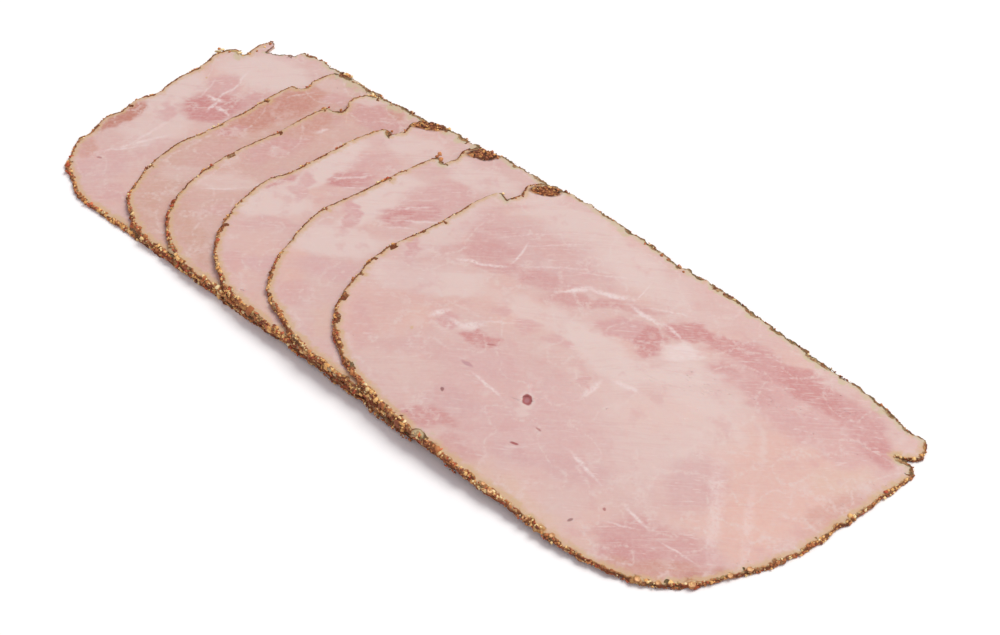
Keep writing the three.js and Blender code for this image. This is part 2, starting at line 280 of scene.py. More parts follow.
# Muscles, fat and marks on the cut face: middle x and y, half length, half width, tilt in
# degrees, softness of the edge as a share of the size, colour and strength.
MARKS = {
    1: [(-60.9, 34.5, 17.9, 9.1, 21, 0.6, FAT, 0.85), (-77.3, 5.4, 13.8, 7.2, 88, 0.6, FAT, 0.85),
        (-66.5, -10.8, 10.9, 8.1, 61, 0.7, FAT, 0.7), (-67.6, 20.1, 5.7, 5, 21, 0.6, ROSE, 0.75),
        (-61.4, 8.4, 10.2, 7.8, 34, 0.6, MAROON, 1), (-54.4, 19.9, 5.6, 4.4, 66, 0.6, DEEP, 0.7),
        (-80.5, -14.5, 10.2, 4, 89, 0.4, RUSSET, 1), (-80.4, -20.3, 3.6, 3.1, 10, 0.5, RUSSET, 0.6),
        (-72.2, -2.7, 5, 2.4, -39, 0.6, ROSE, 0.7), (-67.5, -38.5, 9.5, 6.6, 33, 0.8, LILAC, 0.7),
        (-77.7, -34.4, 5, 4, -83, 0.7, CLAY, 0.6), (-64.4, -28.1, 10.1, 2.1, 41, 0.8, ROSE, 0.4),
        (-53.5, -43.7, 6.5, 3.2, 0, 0.7, ROSE, 0.6)],
    2: [(-62, 0, 40, 60, 0, 0.8, WARM, 0.75), (-74.2, 24.2, 19.3, 6.6, 79, 0.7, CLAY, 1),
        (-75.5, 20, 14, 6.5, 83, 0.8, CLAY, 0.8), (-75, 21, 16, 6.5, 80, 0.8, RUSSET, 0.3),
        (-73.7, -5.9, 10.9, 4.8, 85, 0.8, ROSE, 0.4), (-76.5, 6.5, 5.4, 2.1, 56, 0.6, DEEP, 0.7),
        (-62.8, 42.8, 5.6, 3.3, 41, 0.6, ROSE, 0.7), (-70.5, 46.8, 9.8, 3.1, 18, 0.6, CREAM, 0.6),
        (-72.8, -19, 8.8, 3.5, 36, 0.7, CREAM, 0.6), (-67.5, -38.5, 7.8, 4.5, -32, 0.8, WARM, 0.8),
        (-54.3, -42.1, 5.5, 2.6, -23, 0.8, WARM, 0.6)],
    3: [(-62, 0, 40, 60, 0, 0.8, WARM, 0.5), (-75.3, 18.3, 22.4, 5.8, 83, 0.8, CLAY, 0.45),
        (-75.7, -15.7, 10.6, 4.5, 43, 0.7, FAT, 0.6), (-67.9, -37.4, 13.2, 4.2, -27, 0.8, WARM, 0.8),
        (-54, -41.5, 8.8, 3.3, -19, 0.8, WARM, 0.7), (-63.7, 42.2, 10.8, 5.7, 7, 0.5, DEEP, 0.65),
        (-72.2, 46, 7, 2.7, 35, 0.6, FAT, 0.6), (-75.6, 7.3, 11, 5.6, 70, 0.7, ROSE, 0.6),
        (-76.3, 28.3, 7.3, 4, 81, 0.7, CLAY, 0.6), (-65.2, -24.7, 5.2, 1.9, 38, 0.7, ROSE, 0.5),
        (-61.1, 49.2, 5.2, 2.1, -8, 0.6, CLAY, 0.7)],
    4: [(-76.9, 9, 17.1, 5.9, 88, 0.45, FAT, 0.9), (-76.8, -15, 15.2, 7.1, 34, 0.5, FAT, 0.85),
        (-76, -1.9, 8.5, 3.1, -52, 0.4, ROSE, 0.75), (-67.1, 21.1, 9.4, 6.5, 65, 0.6, ROSE, 0.55),
        (-65.9, 10.2, 8.5, 4, 52, 0.45, DEEP, 0.9), (-67, 7.7, 4.3, 2, 43, 0.5, MAROON, 0.9),
        (-63.2, 37.1, 15.2, 5.4, 6, 0.7, FAT, 0.7), (-82.7, -5.6, 6, 1.6, 83, 0.5, MAROON, 0.8),
        (-68.7, -21.9, 8.4, 2.8, 39, 0.7, ROSE, 0.5), (-63.3, -41, 5.1, 4, -30, 0.7, ROSE, 0.55),
        (-57.3, -35, 5.7, 3.6, 41, 0.8, LILAC, 0.9), (-42.7, -47.5, 7.6, 4.4, -25, 0.7, BEIGE, 0.5)],
    5: [(-75.3, 7.5, 18.2, 5.7, 86, 0.45, FAT, 0.9), (-72.4, -14.8, 16.6, 6.8, 35, 0.5, FAT, 0.85),
        (-78.2, -2.1, 7.9, 3, -51, 0.4, ROSE, 0.95), (-63.7, 24.2, 11.3, 7.2, 64, 0.6, ROSE, 0.6),
        (-63.8, 10.7, 9.3, 5.2, 52, 0.45, DEEP, 0.9), (-64.6, 9.3, 4.5, 2.4, 43, 0.5, MAROON, 0.9),
        (-61.4, 39.5, 17.5, 5.3, 7, 0.7, FAT, 0.75), (-75, -30.7, 11.3, 5, -40, 0.8, PEACH, 0.5),
        (-64, -23.8, 14.2, 4, 36, 0.8, LILAC, 0.8), (-64.4, -39.2, 5.5, 5, -2, 0.7, ROSE, 0.55),
        (-48.2, -41.6, 8.1, 4.4, -25, 0.7, BEIGE, 0.5)],
    6: [(-38.7, 41, 40, 8.8, -3, 0.8, FAT, 0.8), (23.8, -1.3, 23.8, 22.4, -88, 0.8, FAT, 0.5),
        (59.5, 6.5, 30.1, 18.7, 84, 0.8, PEACH, 0.65), (-67.8, -26, 14, 11.9, 37, 0.7, PEACH, 0.45),
        (12.6, -52.6, 31.3, 4.8, -1, 0.8, BEIGE, 0.8), (-10.2, -28, 29.5, 16.6, 1, 0.9, LILAC, 0.65),
        (-78.9, 11.3, 16.6, 6.6, 86, 0.45, FAT, 0.75), (-68.3, -8.3, 20.6, 6.5, 31, 0.5, FAT, 0.8),
        (-48.6, -40.6, 12.7, 5.5, 28, 0.8, CREAM, 0.45), (-79.4, -0.7, 7.7, 2.9, -50, 0.4, ROSE, 0.95),
        (-52.5, 23.4, 25.5, 12.8, 13, 0.6, DUSK, 0.5), (-72.5, 26.3, 5.8, 3.8, 43, 0.6, ROSE, 0.35),
        (-66.7, 21.5, 6.4, 3.2, 57, 0.5, DEEP, 0.45), (-62.3, 14.2, 9.4, 5, 36, 0.5, DEEP, 0.6),
        (-51.6, 11.9, 13.5, 2.6, 29, 0.5, DEEP, 0.65), (-39, 16.5, 9, 3.9, 27, 0.5, DEEP, 0.6),
        (-26.1, 18.7, 11.6, 2.6, 39, 0.5, MAROON, 0.55), (-13.3, 27.2, 10, 1.3, 32, 0.5, DEEP, 0.55),
        (-29.1, 5.6, 19.5, 4.9, 15, 0.7, FAT, 0.7), (-8.7, 6.6, 14.7, 6.2, -6, 0.7, FAT, 0.85),
        (-7.6, 19.1, 10, 5, 21, 0.3, ROSE, 1), (-0.8, 20.3, 5.9, 4.5, -55, 0.4, MAROON, 0.9),
        (39.9, 32.2, 23.5, 10.1, 0, 0.6, ROSE, 0.65), (60.8, 28.3, 19.2, 6.1, 12, 0.7, ROSE, 0.6),
        (7, 31.1, 8.4, 3, 32, 0.4, MAROON, 0.9), (18.6, 35.7, 9.4, 4.1, 13, 0.45, MAROON, 0.8),
        (31.4, 38.6, 12, 5.1, 2, 0.5, DEEP, 0.8), (47.1, 40.6, 13.9, 5.7, 0, 0.5, MAROON, 0.9),
        (65.6, 38.1, 11.5, 6.6, -28, 0.5, DEEP, 0.9), (74, 34, 4.7, 4, -84, 0.6, MAROON, 0.7),
        (21.5, 25.9, 5.9, 3.2, 45, 0.5, DEEP, 0.7), (34.4, 27, 5.7, 4.9, -69, 0.6, DEEP, 0.5),
        (8.7, 22.9, 7.1, 4.1, 37, 0.35, FAT, 1), (8.7, 22.9, 6, 3.6, 37, 0.8, SINEW, 0.7),
        (14.6, 17.2, 12.4, 3.6, 44, 0.6, FAT, 0.75), (2.5, 5.8, 8.1, 5.9, -53, 0.7, FAT, 0.55),
        (24.5, 12.8, 8.9, 4.6, 13, 0.8, FAT, 0.5), (63.8, -14.1, 11.1, 8.1, -58, 0.8, PEACH, 0.7),
        (77.5, 8.6, 12.9, 4.3, 80, 0.7, CLAY, 0.45), (72.5, 18.8, 9.2, 5, 54, 0.8, BEIGE, 0.6),
        (-29.3, -20.6, 9.4, 4.6, 13, 0.8, LILAC, 0.5), (0.1, -40.8, 6.9, 3.7, 25, 0.7, DUSK, 0.65),
        (14.9, -32, 9.1, 4.7, 21, 0.7, DUSK, 0.55), (41.8, -11.7, 11.5, 7.8, -80, 0.8, DUSK, 0.65),
        (-27.7, -39.1, 8.8, 5, 34, 0.8, DUSK, 0.6), (-68.2, -35.2, 11.8, 3.6, -43, 0.6, ROSE, 0.45),
        (-71, -14, 22, 9, -75, 0.9, DUSK, 0.25), (-50.4, -32.5, 12.6, 3.7, 37, 0.7, ROSE, 0.35),
        (-36.5, -15.1, 6.1, 3.7, 25, 0.4, MAROON, 0.9), (-49.1, -15.9, 3.6, 3, 41, 0.45, ROSE, 0.9),
        (-30.6, -1.7, 3.6, 3.4, 47, 0.5, ROSE, 0.75), (-41.8, -3, 3.3, 2.2, 43, 0.5, ROSE, 0.6),
        (-19.5, 0.8, 4.2, 2.1, 44, 0.6, ROSE, 0.6), (-3.4, -5.3, 3.2, 1.8, -49, 0.6, DEEP, 0.6),
        (-27.5, -47.5, 9.4, 3.4, 26, 0.6, MAROON, 0.7), (-13.2, -49.8, 6.6, 4.5, 7, 0.7, DEEP, 0.6),
        (48.9, -35.8, 16.7, 7.5, 27, 0.6, DEEP, 0.75), (43.8, -42.4, 8.1, 4.1, 30, 0.6, MAROON, 0.45),
        (52.5, -43.1, 16.5, 4, 37, 0.7, CLAY, 0.75), (66.9, -34.1, 6.7, 3.2, 64, 0.5, RUSSET, 0.8),
        (47.4, 12.5, 8.9, 1.2, -45, 0.8, FAT, 0.5), (38.7, 11.2, 7, 1.3, -28, 0.8, FAT, 0.4),
        (81.1, 40.6, 4.3, 3.2, -41, 0.6, CREAM, 0.9), (-8.4, -27.4, 2.9, 1.4, 86, 0.8, FAT, 0.6),
        (-9, -5.1, 2.7, 1.6, 44, 0.8, FAT, 0.5)],
}

# Sinews: middle x and y, half length, half width, tilt in degrees and strength.
SINEWS = {
    1: [(-64.3, 12.5, 3.2, 0.78, 12, 0.95), (-62.2, 9.2, 3, 0.63, -80, 0.9),
        (-57.6, 9.6, 3.6, 0.59, -4, 0.9), (-63.9, 18.2, 5.5, 0.55, 88, 0.7),
        (-64.9, 24.8, 5.7, 0.42, -71, 0.6), (-70.8, 15, 4.7, 0.42, -70, 0.5),
        (-65.9, -20.2, 8.1, 0.64, 64, 0.7), (-67.4, -14.4, 7.5, 0.59, 88, 0.6),
        (-67.2, -25.7, 6.7, 0.53, 55, 0.6)],
    2: [(-73.8, 35.6, 4.9, 0.5, 59, 0.4)],
    3: [(-71.6, 24.9, 1.7, 0.73, 69, 0.8), (-72.7, -17, 6.6, 0.4, 44, 0.5)],
    4: [(-66.6, 13, 5.9, 0.45, 51, 0.6), (-61.4, 10.5, 5.3, 0.45, 41, 0.6)],
    5: [(-65.7, 13.5, 6.4, 0.44, 50, 0.6), (-59.1, 10.6, 7, 0.43, 41, 0.6),
        (-61.6, 4.2, 5.1, 0.38, 41, 0.5)],
    6: [(-53.7, -15.6, 2.9, 0.9, 72, 0.9), (-47, -15, 2.7, 0.75, 3, 0.7),
        (-42.6, -13.1, 3.6, 1.26, 55, 0.9), (-37.7, -6, 4.8, 0.51, 39, 0.5),
        (-62, 7, 4.5, 0.62, 26, 0.9), (-55.3, 10.8, 3.7, 0.63, 36, 0.8),
        (-53.6, 19.9, 4.5, 0.39, -77, 0.7), (-30.4, 20.3, 4.7, 0.87, 55, 0.95),
        (-21.2, 26.6, 6.2, 0.87, 26, 0.95), (-7.5, 27.4, 6, 0.66, -1, 0.9),
        (1.8, 28, 4.1, 0.52, -9, 0.7), (-14.8, 33.6, 4, 0.34, -79, 0.6),
        (-0.4, -6.4, 3.8, 0.87, -88, 0.8), (6.2, 1.6, 4.3, 0.68, 10, 0.7),
        (-23.3, -26.8, 5.2, 0.57, -8, 0.85), (16.3, -29.2, 5.7, 0.55, -9, 0.85),
        (38.8, -31.8, 4, 0.57, -11, 0.8), (37.4, -37, 4.1, 0.35, 28, 0.6),
        (54.7, -33.1, 4.7, 0.36, 8, 0.7), (62, -41.9, 3.2, 0.37, 28, 0.7),
        (-41.4, 22.8, 9.3, 0.36, 40, 0.45), (-47.2, 31.6, 9.5, 0.37, 48, 0.4),
        (-57.2, 28.5, 7.9, 0.37, 49, 0.4), (-29.4, 30.4, 7.7, 0.36, 36, 0.45),
        (-4.5, 33.2, 6.1, 0.39, 29, 0.5), (53.5, -15.6, 15, 2, -55, 0.45),
        (62.3, -12.1, 11.5, 1.4, -57, 0.35)],
}

# Small marks: middle x and y, half length, half width, tilt in degrees, colour and strength.
SPECKS = {
    1: [(-70.1, -34.6, 1.09, 0.48, 22, PIT_RED, 0.6), (-75.7, 19, 0.61, 0.39, -36, TAN, 0.9)],
    6: [(-2.8, -36.9, 1.19, 0.47, 26, PIT_RED, 0.9), (-1.6, -28.4, 0.89, 0.36, 15, PIT_RED, 0.6),
        (-31.6, -36.8, 0.66, 0.53, -42, DARK_RED, 0.7), (26.1, -45.7, 0.89, 0.5, 81, DARK_RED, 0.65),
        (30.5, -36.2, 0.46, 0.4, 58, PIT_RED, 0.7), (61.8, -37.5, 0.33, 0.24, -58, DARK_RED, 0.8),
        (-33.5, -24.7, 2.17, 0.68, 9, DUSK_RED, 0.6), (-55.4, -25.9, 0.64, 0.5, -40, TAN, 0.7),
        (-33.1, -14.4, 1.16, 0.45, 21, PIT_RED, 0.45)],
}

# The largest crumbs, fused to the rims: middle x and y, half size along x and y, and colour.
GOLD = ink(204, 154, 96)
PALE = ink(228, 208, 166)
BROWN = ink(140, 88, 54)
RED = ink(172, 84, 50)
CHUNK_COLOURS = {
    1: [(-47.9, -51.4, 2, 1.6, BROWN), (-83, -32, 1.6, 1.6, BROWN),
        (-76, -44, 1.8, 1.8, GOLD), (-10, -52, 2, 1.6, GOLD)],
    2: [(-65.9, -46.6, 2.4, 2.2, RED), (-40, -49, 1.8, 1.6, GOLD)],
    3: [(-61.2, -49.3, 2.6, 2.2, PALE), (-79.9, -32.6, 1.6, 1.6, RED),
        (-20, -49, 2, 1.6, BROWN)],
    4: [(-78.8, -34.3, 2.2, 2.2, BROWN), (-54.6, -50.9, 2.4, 2, RED),
        (-45.9, -52, 2, 1.8, GOLD), (-20, -51, 2, 1.8, PALE)],
    5: [(-43, -52.5, 2.2, 1.8, GOLD), (-31.2, -52.5, 2, 1.8, PALE)],
    6: [(-25, -53.9, 1.8, 1.7, PALE), (52.1, -47.9, 1.6, 1.6, GOLD),
        (64.2, -38.7, 2.4, 2.2, RED), (-18.5, -54, 1.4, 1.5, BROWN),
        (22, -53.7, 2, 1.8, GOLD), (76.2, -16, 1.8, 1.8, BROWN),
        (-27, 52.6, 2.4, 1.2, BROWN), (34, 51.6, 1.8, 1, BROWN)],
}

# The small hole in the top slice, and the dark spice pockets in the far corner of three slices:
# middle, half length and half width, and tilt in degrees.
PIT = (-11.0, -22.9)
POCKETS = {4: ((-68.6, 47.9), (6.0, 2.4), 30), 5: ((-67.2, 48.3), (5.6, 2.6), 34),
           6: ((-67.7, 47.5), (4.9, 2.5), 34)}
FIBRE_TILT = math.radians(41)
ALONG = np.array([math.cos(FIBRE_TILT), math.sin(FIBRE_TILT)])
CRUST_CELLS = 1.2


def meat_paint(number):
    """The finish of one slice: fibres and sinews on the cut face, crust along the rind."""
    paint = Paint(f"cured_meat_{number}")
    middle, turn = slice_frame(number)
    here = paint.node("ShaderNodeTexCoord", output="Object")
    spot = paint.placed(here, middle * MM, turn, (MM, MM, MM))
    change = 0.22 * number

    def held(name, output="Fac"):
        return paint.node("ShaderNodeAttribute", {"attribute_name": name}, output=output)

    def wander(scale, reach, detail):
        drift = paint.noise(spot, scale, detail, w=change, output="Color")
        centred = paint.vector("SUBTRACT", drift, (0.5, 0.5, 0.5))
        return paint.vector("MULTIPLY", centred, (reach, reach, 0))

    def mask(place, size, tilt, softness, base):
        seen = paint.placed(base, (place[0], place[1], 0), math.radians(tilt), (size[0], size[1], 1e4))
        reach = paint.vector("LENGTH", seen, output="Value")
        return reach.above(1 + softness * 0.5, 1 - softness * 0.5)

    # The fibres run across the slice, and pale threads show most in the red muscle.
    straight = paint.vector("ADD", spot, wander(0.03, 7.0, 1.0))
    fibres = paint.placed(straight, turn=FIBRE_TILT, scale=(14.0, 1.0, 1.0))
    short_fibres = paint.placed(straight, turn=FIBRE_TILT, scale=(5.0, 1.0, 1.0))
    threads = paint.noise(fibres, 1.5, 3.0, 0.6, w=change)
    strands = paint.noise(fibres, 0.3, 3.0, 0.55, w=change + 3.0)
    flecks = paint.noise(short_fibres, 1.2, 2.0, 0.6, w=change + 13.0)
    little_uneven = paint.vector("ADD", spot, wander(0.22, 2.6, 2.0))
    muscle = held("muscle")
    colour = held("meat_colour", "Color")
    colour = paint.mix((strands * 0.5 + threads * 0.5).above(0.5, 0.36) * 0.2, colour, DEEP)
    colour = paint.mix(threads.above(0.52, 0.74) * (muscle * 0.5 + 0.22), colour, FAT)
    colour = paint.mix(flecks.above(0.6, 0.72) * (muscle * 0.35 + 0.25), colour, SINEW)
    grain = paint.noise(spot, 0.8, 3.0, 0.6, w=change + 5.0)
    colour = paint.mix(grain.above(0.42, 0.62) * 0.16, colour, FAT)

    blotches = paint.noise(little_uneven, 0.16, 3.0, 0.6, w=change + 29.0)
    colour = paint.mix(blotches.above(0.54, 0.72) * 0.42, colour, ROSE)
    colour = paint.mix(blotches.above(0.46, 0.3) * 0.38, colour, FAT)
    vein = paint.noise(straight, 0.07, 1.0, w=change + 21.0) - 0.5
    vein = vein.math("ABSOLUTE", vein).above(0.030, 0.0)
    colour = paint.mix(vein * grain.above(0.35, 0.65) * 0.6, colour, FAT)

    for x, y, length, width, tilt, strength in SINEWS.get(number, []):
        share = mask((x, y), (length, width), tilt, 1.5, little_uneven)
        colour = paint.mix(share * (grain.above(0.25, 0.6) * 0.85 + 0.15) * strength, colour, SINEW)
    for x, y, length, width, tilt, tint, strength in SPECKS.get(number, []):
        share = mask((x, y), (length, width), tilt, 0.8, little_uneven)
        colour = paint.mix(share * strength, colour, tint)
    if number == TOP_SLICE:
        colour = paint.mix(mask(PIT, (3.3, 2.5), 133, 0.7, spot) * 0.7, colour, FAT)
        colour = paint.mix(mask(PIT, (2.1, 1.45), 133, 0.35, little_uneven) * 0.95, colour, PIT_RED)
        colour = paint.mix(mask(PIT, (1.0, 0.7), 120, 0.9, spot) * 0.6, colour, DUSK_RED)

    # Towards the rind the meat turns tan, or straw on the far side, and the outermost is crust.
    depth = held("rim_depth")
    width = held("crust_width")
    farness = held("far_side")
    down = held("down_the_wall")
    ragged = paint.noise(spot, 0.7, 2.0, w=change + 11.0)
    dashes = paint.noise(spot, 0.22, 1.0, w=change + 15.0)
    width = width + dashes.above(0.5, 0.62) * (farness * 0.7 + 0.25)
    tanned = (depth + (ragged - 0.5) * 3.0 - width * 1.7).above(1.8, -0.3)
    colour = paint.mix(tanned * 0.85, colour, paint.mix(farness, TAN, STRAW))
    crust = (depth + (ragged - 0.5) * 1.5 - width).above(0.3, -0.2)
    chunk = held("chunk_colour", "Alpha")
    crust = crust.math("MAXIMUM", crust, chunk)
    crumbs = paint.node("ShaderNodeSeparateColor", {}, {"Color": paint.cells(little_uneven, CRUST_CELLS)})
    lump = paint.cells(little_uneven, CRUST_CELLS, "Distance")
    # On the wall the crust takes the brighter colours: painted light that makes up for the wall's shade.
    crust_colour = paint.mix(down.above(0.02, 0.3), paint.ramp(crumbs, TOP_STOPS, "CONSTANT"),
                             paint.ramp(crumbs, SHADE_LIFTED_WALL_STOPS, "CONSTANT"))
    crust_colour = paint.mix(farness * 0.45, crust_colour, FAR_CRUST)
    # Painted shade in the gaps between the crust's raised crumbs.
    crust_colour = paint.mix(lump.above(0.42, 0.8) * 0.45, crust_colour, SHADED_CRUST_GAP)
    # Painted shade: the lower wall of the rind turns darker and redder.
    crust_colour = paint.mix(down.above(0.35, 0.8) * 0.75, crust_colour, SHADED_LOW_CRUST)
    colour = paint.mix(crust, colour, crust_colour)
    edge = (depth + (ragged - 0.5) * 1.1).above(0.75, 0.2) * down.above(0.5, 0.1)
    colour = paint.mix(edge * (dashes.above(0.34, 0.54) * 0.6 + 0.35), colour,
                       paint.mix(farness, EDGE, FAR_EDGE))
    if number in POCKETS:
        place, size, tilt = POCKETS[number]
        pocket = mask(place, size, tilt, 0.35, little_uneven)
        colour = paint.mix(pocket, colour, paint.ramp(crumbs, POCKET_STOPS, "CONSTANT"))
        crust = crust.math("MAXIMUM", crust, pocket)
    colour = paint.mix(chunk * 0.6, colour, held("chunk_colour", "Color"))

    height = threads * 0.1 + strands * 0.1 + (1 - lump) * crust * 0.9
    roughness = 0.44 + threads * 0.12 + crust * 0.34
    return paint.finish(colour, roughness, height, 0.35, Specular_IOR_Level=0.3,
                        Subsurface_Weight=0.08, Subsurface_Scale=0.6 * MM)


# Rims, in mm

FLAT_ENOUGH = 0.7
STATION_STEP = 0.5
CALM_STATIONS = 5

# Where the first slice is torn: x from and to, and y above. The crust's width there, on a rim
# with no richness, and what a full one adds.
TORN_FROM, TORN_TO, TORN_ABOVE = -73.5, -61.0, 38
NO_CRUST = -0.6
THIN_CRUST = 0.3
RICH_CRUST = 0.75


def cut_face_rim(mesh):
    """The longest loop of edges between the faces that look up and the wall, in mm."""
    shape = bmesh.new()
    shape.from_mesh(mesh)
    bmesh.ops.remove_doubles(shape, verts=shape.verts, dist=WELD)
    following = {}
    for edge in shape.edges:
        up = [loop for loop in edge.link_loops if loop.face.normal.z > FLAT_ENOUGH]
        if len(edge.link_loops) == 2 and len(up) == 1:
            following.setdefault(up[0].vert, []).append(up[0].link_loop_next.vert)
    loops = []
    while following:
        loop = [next(iter(following))]
        while loop[-1] in following:
            here = following[loop[-1]].pop()
            if not following[loop[-1]]:
                del following[loop[-1]]
            loop.append(here)
        loops.append([tuple(corner.co / MM) for corner in loop[:-1]])
    shape.free()
    return np.array(max(loops, key=len))


def evenly(loop, step):
    """The same closed loop with a point at each step."""
    closed = np.vstack([loop, loop[:1]])
    reach = np.concatenate([[0], np.cumsum(np.linalg.norm(np.diff(closed, axis=0), axis=1))])
    places = np.arange(0, reach[-1], step)
    return np.stack([np.interp(places, reach, closed[:, axis]) for axis in range(3)], axis=1)


def blurred(loop, half):
    """The loop with each point moved to the mean of its neighbours."""
    return sum(np.roll(loop, shift, axis=0) for shift in range(-half, half + 1)) / (2 * half + 1)


class Rim:
    """The rim of one slice as stations, each with its outward direction and its cover."""

    def __init__(self, number, node):
        self.number = number
        self.points = evenly(cut_face_rim(node.data), STATION_STEP)
        calm = blurred(self.points, CALM_STATIONS)
        along = np.roll(calm, -2, axis=0) - np.roll(calm, 2, axis=0)
        out = np.stack([along[:, 1], -along[:, 0]], axis=1)
        self.out = out / np.linalg.norm(out, axis=1)[:, None]
        self.local = [to_local(number, x, y) for x, y, z in self.points]
        self.tree = KDTree(len(self.points))
        for index, (x, y, z) in enumerate(self.points):
            self.tree.insert((x, y, 0), index)
        self.tree.balance()

    def crust_width(self, index):
        """How wide the crust is on the cut face, and below 0 where the first slice is torn."""
        x, y = self.local[index]
        if self.number == 1 and TORN_FROM < x < TORN_TO and y > TORN_ABOVE:
            return NO_CRUST
        return THIN_CRUST + RICH_CRUST * self.richness(index)

    def far_side(self, index):
        """1 along the far side and 0 elsewhere."""
        return smoothstep(self.out[index][1], 0.5, 0.9)

    def richness(self, index):
        """0 to 1: how much spice the rim carries here."""
        x, y = self.local[index]
        nx, ny = self.out[index]
        near = smoothstep(-ny, 0.55, 0.98) * (1 - 0.45 * smoothstep(x, 0, 40))
        right = 0.6 * smoothstep(nx, 0.2, 0.8)
        far = 0.35 * smoothstep(ny, 0.6, 0.95)
        return max(near, 0.7 * self.corner(index), right, far, 0.22)

    def corner(self, index):
        """1 at the near left corner of the slice and 0 elsewhere."""
        x, y = self.local[index]
        return smoothstep(-y, 18, 42) * smoothstep(-x, 40, 70)


SKY = 40.0
nodes = {number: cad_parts[f"ham_slice_{number}"] for number in SLICES}
rims = {number: Rim(number, node) for number, node in nodes.items()}
solids = {number: BVHTree.FromPolygons([vertex.co / MM for vertex in node.data.vertices],
                                       [tuple(face.vertices) for face in node.data.polygons])
          for number, node in nodes.items()}


def top_of(number, x, y):
    """The highest point of a slice's solid at a place, or nothing beside it."""
    return solids[number].ray_cast(Vector((x, y, SKY)), Vector((0, 0, -1)))[0]


def covered(number, x, y):
    """Whether a slice above this one lies over a place."""
    return any(top_of(above, x, y) is not None for above in SLICES if above > number)


# The slices, in mm

# The reach of the rind, the longest edges in it, on the cut face where it shows and elsewhere,
# and the x up to which the lower slices show.
RIND_REACH = 1.6
RIND_EDGE = 0.55
FACE_EDGE = 1.1
COARSE_EDGE = 4.0
SHOWN_UP_TO = -14.0
ROUNDS = 6
SMOOTH_UP_TO = math.radians(35)

# The relief of the rind and of its outline, and where a crumb's own colour shows on it.
CALM_STEPS = 20
ROUGH = 0.45
ROUGH_GRAIN = 0.9
RIPPLE = 2.4
RIPPLE_GRAIN = 2.4
CHUNK_REACH = 1.8
CHUNK_RISE = 0.2
CHUNK_DEPTH = 0.35


def only(piece):
    """Selects one object alone and makes it the active one."""
    bpy.ops.object.select_all(action="DESELECT")
    piece.select_set(True)
    bpy.context.view_layer.objects.active = piece


def about_rim(rim, points):
    """The depth of each point inside the rim in plan, in mm, and its nearest station."""
    depths, stations = [], []
    for x, y, z in points:
        near, index, reach = rim.tree.find((x, y, 0))
        outward = (x - near.x) * rim.out[index][0] + (y - near.y) * rim.out[index][1]
        depths.append(-reach if outward > 0 and reach < RIND_REACH else reach)
        stations.append(index)
    return depths, stations


def chunk_colour(number, x, y):
    """The colour of the crumb fused to the rim at a place, and its share as the fourth part."""
    for middle_x, middle_y, length, width, tint in CHUNK_COLOURS[number]:
        reach = math.hypot((x - middle_x) / length, (y - middle_y) / width)
        if reach < 1.2:
            return tint[:3] + (smoothstep(reach, 1.2, 0.9),)
    return (0, 0, 0, 0)


def weigh(piece, name, weights):
    """Adds a vertex group with a weight for each point of a piece, and returns its name."""
    group = piece.vertex_groups.new(name=name)
    for index, weight in enumerate(weights):
        group.add([index], weight, "REPLACE")
    return group.name


def split_long_edges(piece, number):
    """One round of splitting: the edges that are too long for where they lie are halved."""
    ends = np.array([tuple(edge.vertices) for edge in piece.data.edges])
    places = np.array([tuple(vertex.co) for vertex in piece.data.vertices]) / MM
    lengths = np.linalg.norm(places[ends[:, 0]] - places[ends[:, 1]], axis=1)
    middles = (places[ends[:, 0]] + places[ends[:, 1]]) / 2
    chosen = np.zeros(len(ends), bool)
    for index in np.nonzero(lengths > RIND_EDGE)[0]:
        x, y, z = middles[index]
        near, station, reach = rims[number].tree.find((x, y, 0))
        on_top = z > rims[number].points[station][2] - SLICE_THICKNESS / 2
        if reach < RIND_REACH:
            limit = RIND_EDGE
        elif on_top and (number == TOP_SLICE or to_local(number, x, y)[0] < SHOWN_UP_TO):
            limit = FACE_EDGE
        else:
            limit = COARSE_EDGE
        chosen[index] = lengths[index] > limit
    piece.data.edges.foreach_set("select", chosen)
    piece.data.vertices.foreach_set("select", np.zeros(len(places), bool))
    piece.data.polygons.foreach_set("select", np.zeros(len(piece.data.polygons), bool))
    bpy.ops.object.mode_set(mode="EDIT")
    bpy.ops.mesh.subdivide(number_cuts=1)
    bpy.ops.mesh.select_all(action="SELECT")
    bpy.ops.mesh.quads_convert_to_tris()
    bpy.ops.object.mode_set(mode="OBJECT")


def drifts(x, y, seed):
    """Slow noises at a place on a slice: two that shift the marks widely, one that draws them
    out along the fibres, two that tint the meat, and two that fray the edges of the marks."""
    def cloud(scale, stride, start):
        return noise.noise(Vector((x * scale, y * scale, seed * stride + start)))
    return (cloud(0.11, 1.3, 0), cloud(0.11, 1.3, 40),
            noise.noise(Vector(((x * ALONG[0] + y * ALONG[1]) * 0.06,
                                (y * ALONG[0] - x * ALONG[1]) * 0.5, seed * 1.7 + 80))),
            cloud(0.05, 0.9, 120), cloud(0.07, 0.9, 160),
            cloud(0.27, 2.1, 200), cloud(0.27, 2.1, 240))


